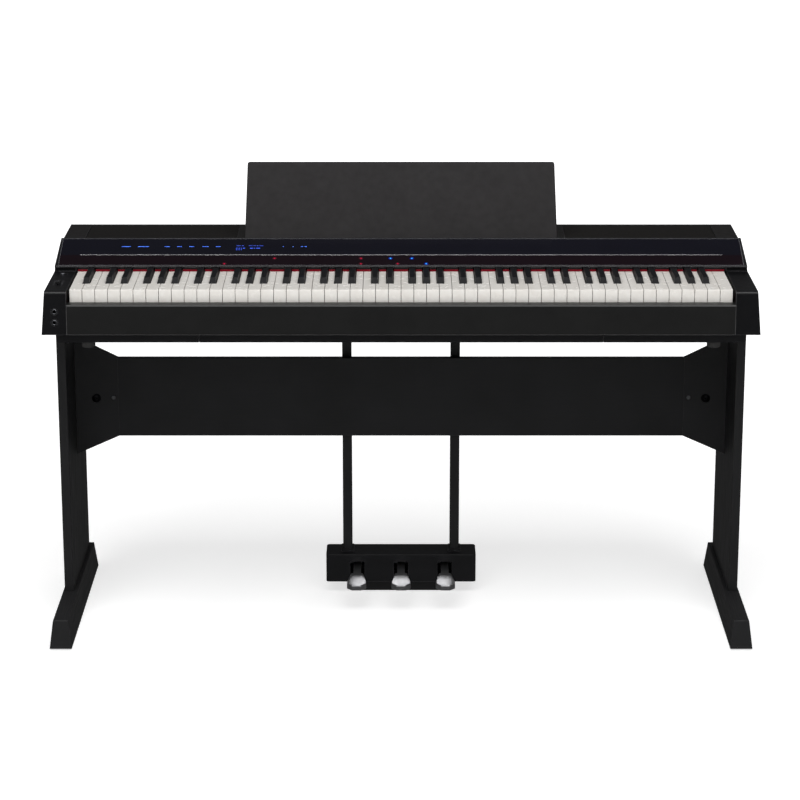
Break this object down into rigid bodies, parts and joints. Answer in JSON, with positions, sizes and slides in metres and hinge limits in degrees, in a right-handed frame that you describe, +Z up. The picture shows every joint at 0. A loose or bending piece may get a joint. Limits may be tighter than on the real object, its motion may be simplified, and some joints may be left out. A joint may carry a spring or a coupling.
{
  "type": "digital piano on stand",
  "caption": "Full-size slab digital piano on a two-leg wooden stand with a back board, a lift-out music rest and a pedal unit hung on posts.",
  "frame": {"origin": "on the floor, midway between the two feet and between their ends", "axes": "+X to the player's right along the keyboard, +Y away from the player, +Z up"},
  "size_m": [1.3356, 0.45, 0.8787],
  "materials": {
    "black_key": "satin black key plastic",
    "black_plastic": "moulded black plastic, fine texture",
    "black_steel": "black oxide",
    "black_wood_board": "black foil on particle board, fine texture",
    "circuit_board": "glass-epoxy board with rubber domes or chips",
    "crimson_felt": "crimson wool felt",
    "glide_felt": "felt-faced glides",
    "gloss_panel": "smoked acrylic sheet",
    "grey_plastic": "glass-filled grey plastic",
    "grille_cloth": "black speaker cloth",
    "lamp": "light guides, lit red or blue in use",
    "rest_plastic": "textured dark plastic",
    "rubber": "rubber feet",
    "satin_nickel": "satin plated steel",
    "silver_trim": "satin aluminium",
    "speaker_parts": "steel basket and paper cone",
    "white_key": "ivory white key plastic",
    "zinc_plated_steel": "zinc plated"
  },
  "bodies": {
    "stand_and_case": {"back_board": "black_wood_board", "bottom_panel_centre": "black_plastic", "bottom_side_panels": "black_plastic", "case_feet": "rubber", "control_panel": "gloss_panel", "end_caps": "black_plastic", "foot_glides": "glide_felt", "headphone_jacks": "black_plastic", "key_felt_strip": "crimson_felt", "key_frame": "grey_plastic", "key_pivot_rod": "zinc_plated_steel", "key_slip": "black_plastic", "key_stop_felt": "crimson_felt", "left_end_block": "black_plastic", "left_foot": "black_wood_board", "left_leg": "black_wood_board", "left_wing": "black_wood_board", "main_board": "circuit_board", "panel_frame": "black_plastic", "panel_lamps": "lamp", "panel_trim_line": "silver_trim", "pedal_base": "black_wood_board", "pedal_box": "black_wood_board", "pedal_pivot_rod": "zinc_plated_steel", "pedal_posts": "black_wood_board", "pedal_springs": "black_steel", "rear_cover": "black_plastic", "rear_sockets": "black_plastic", "right_end_block": "black_plastic", "right_foot": "black_wood_board", "right_leg": "black_wood_board", "right_wing": "black_wood_board", "sensor_board": "circuit_board", "small_screws": "zinc_plated_steel", "speaker_grilles": "grille_cloth", "stand_bolts": "black_steel", "stand_brackets": "zinc_plated_steel", "top_cover": "black_plastic", "tweeters": "speaker_parts", "woofers": "speaker_parts"},
    "rest": {"music_rest": "rest_plastic"},
    "slider": {"volume_slider": "black_plastic"},
    "button": {"power_button": "silver_trim"},
    "left_pedal_lever": {"left_pedal": "satin_nickel"},
    "middle_pedal_lever": {"middle_pedal": "satin_nickel"},
    "right_pedal_lever": {"right_pedal": "satin_nickel"},
    "key_a4_lever": {"key_a4": "white_key"},
    "key_a_sharp4_lever": {"key_a_sharp4": "black_key"},
    "key_b4_lever": {"key_b4": "white_key"},
    "key_c4_lever": {"key_c4": "white_key"},
    "key_c_sharp4_lever": {"key_c_sharp4": "black_key"},
    "key_d4_lever": {"key_d4": "white_key"},
    "key_d_sharp4_lever": {"key_d_sharp4": "black_key"},
    "key_e4_lever": {"key_e4": "white_key"},
    "key_f4_lever": {"key_f4": "white_key"},
    "key_f_sharp4_lever": {"key_f_sharp4": "black_key"},
    "key_g4_lever": {"key_g4": "white_key"},
    "key_g_sharp4_lever": {"key_g_sharp4": "black_key"},
    "black_keys_levers": {"other_black_keys": "black_key"},
    "white_keys_levers": {"other_white_keys": "white_key"}
  },
  "joints": [
    {"name": "rest_lift_out", "type": "slide", "parent": "stand_and_case", "child": "rest", "axis": [0, 0.3697, 0.9291], "range_m": [0, 0.0135]},
    {"name": "volume_travel", "type": "slide", "parent": "stand_and_case", "child": "slider", "axis": [0, 1, 0], "range_m": [-0.007, 0.019]},
    {"name": "power_press", "type": "slide", "parent": "stand_and_case", "child": "button", "axis": [0, 0, -1], "range_m": [0, 0.002], "stiffness_N_per_m": 400, "springref_m": -0.001},
    {"name": "key_a4_press", "type": "hinge", "parent": "stand_and_case", "child": "key_a4_lever", "pos_m": [0, 0.012, 0.692], "axis": [1, 0, 0], "range_deg": [0, 2.7], "stiffness_Nm_per_rad": 1, "springref_deg": -5.73},
    {"name": "key_a_sharp4_press", "type": "hinge", "parent": "stand_and_case", "child": "key_a_sharp4_lever", "pos_m": [0, 0.012, 0.692], "axis": [1, 0, 0], "range_deg": [0, 2.7], "stiffness_Nm_per_rad": 1, "springref_deg": -5.73},
    {"name": "key_b4_press", "type": "hinge", "parent": "stand_and_case", "child": "key_b4_lever", "pos_m": [0, 0.012, 0.692], "axis": [1, 0, 0], "range_deg": [0, 2.7], "stiffness_Nm_per_rad": 1, "springref_deg": -5.73},
    {"name": "key_c4_press", "type": "hinge", "parent": "stand_and_case", "child": "key_c4_lever", "pos_m": [0, 0.012, 0.692], "axis": [1, 0, 0], "range_deg": [0, 2.7], "stiffness_Nm_per_rad": 1, "springref_deg": -5.73},
    {"name": "key_c_sharp4_press", "type": "hinge", "parent": "stand_and_case", "child": "key_c_sharp4_lever", "pos_m": [0, 0.012, 0.692], "axis": [1, 0, 0], "range_deg": [0, 2.7], "stiffness_Nm_per_rad": 1, "springref_deg": -5.73},
    {"name": "key_d4_press", "type": "hinge", "parent": "stand_and_case", "child": "key_d4_lever", "pos_m": [0, 0.012, 0.692], "axis": [1, 0, 0], "range_deg": [0, 2.7], "stiffness_Nm_per_rad": 1, "springref_deg": -5.73},
    {"name": "key_d_sharp4_press", "type": "hinge", "parent": "stand_and_case", "child": "key_d_sharp4_lever", "pos_m": [0, 0.012, 0.692], "axis": [1, 0, 0], "range_deg": [0, 2.7], "stiffness_Nm_per_rad": 1, "springref_deg": -5.73},
    {"name": "key_e4_press", "type": "hinge", "parent": "stand_and_case", "child": "key_e4_lever", "pos_m": [0, 0.012, 0.692], "axis": [1, 0, 0], "range_deg": [0, 2.7], "stiffness_Nm_per_rad": 1, "springref_deg": -5.73},
    {"name": "key_f4_press", "type": "hinge", "parent": "stand_and_case", "child": "key_f4_lever", "pos_m": [0, 0.012, 0.692], "axis": [1, 0, 0], "range_deg": [0, 2.7], "stiffness_Nm_per_rad": 1, "springref_deg": -5.73},
    {"name": "key_f_sharp4_press", "type": "hinge", "parent": "stand_and_case", "child": "key_f_sharp4_lever", "pos_m": [0, 0.012, 0.692], "axis": [1, 0, 0], "range_deg": [0, 2.7], "stiffness_Nm_per_rad": 1, "springref_deg": -5.73},
    {"name": "key_g4_press", "type": "hinge", "parent": "stand_and_case", "child": "key_g4_lever", "pos_m": [0, 0.012, 0.692], "axis": [1, 0, 0], "range_deg": [0, 2.7], "stiffness_Nm_per_rad": 1, "springref_deg": -5.73},
    {"name": "key_g_sharp4_press", "type": "hinge", "parent": "stand_and_case", "child": "key_g_sharp4_lever", "pos_m": [0, 0.012, 0.692], "axis": [1, 0, 0], "range_deg": [0, 2.7], "stiffness_Nm_per_rad": 1, "springref_deg": -5.73},
    {"name": "other_black_keys_press", "type": "hinge", "parent": "stand_and_case", "child": "black_keys_levers", "pos_m": [0, 0.012, 0.692], "axis": [1, 0, 0], "range_deg": [0, 2.7], "stiffness_Nm_per_rad": 31, "springref_deg": -5.73},
    {"name": "other_white_keys_press", "type": "hinge", "parent": "stand_and_case", "child": "white_keys_levers", "pos_m": [0, 0.012, 0.692], "axis": [1, 0, 0], "range_deg": [0, 2.7], "stiffness_Nm_per_rad": 45, "springref_deg": -5.73},
    {"name": "left_pedal_press", "type": "hinge", "parent": "stand_and_case", "child": "left_pedal_lever", "pos_m": [-0.0875, 0.118, 0.05], "axis": [1, 0, 0], "range_deg": [0, 6], "stiffness_Nm_per_rad": 10, "springref_deg": -14.32},
    {"name": "middle_pedal_press", "type": "hinge", "parent": "stand_and_case", "child": "middle_pedal_lever", "pos_m": [0, 0.118, 0.05], "axis": [1, 0, 0], "range_deg": [0, 6], "stiffness_Nm_per_rad": 10, "springref_deg": -14.32},
    {"name": "right_pedal_press", "type": "hinge", "parent": "stand_and_case", "child": "right_pedal_lever", "pos_m": [0.0875, 0.118, 0.05], "axis": [1, 0, 0], "range_deg": [0, 6], "stiffness_Nm_per_rad": 10, "springref_deg": -14.32}
  ]
}
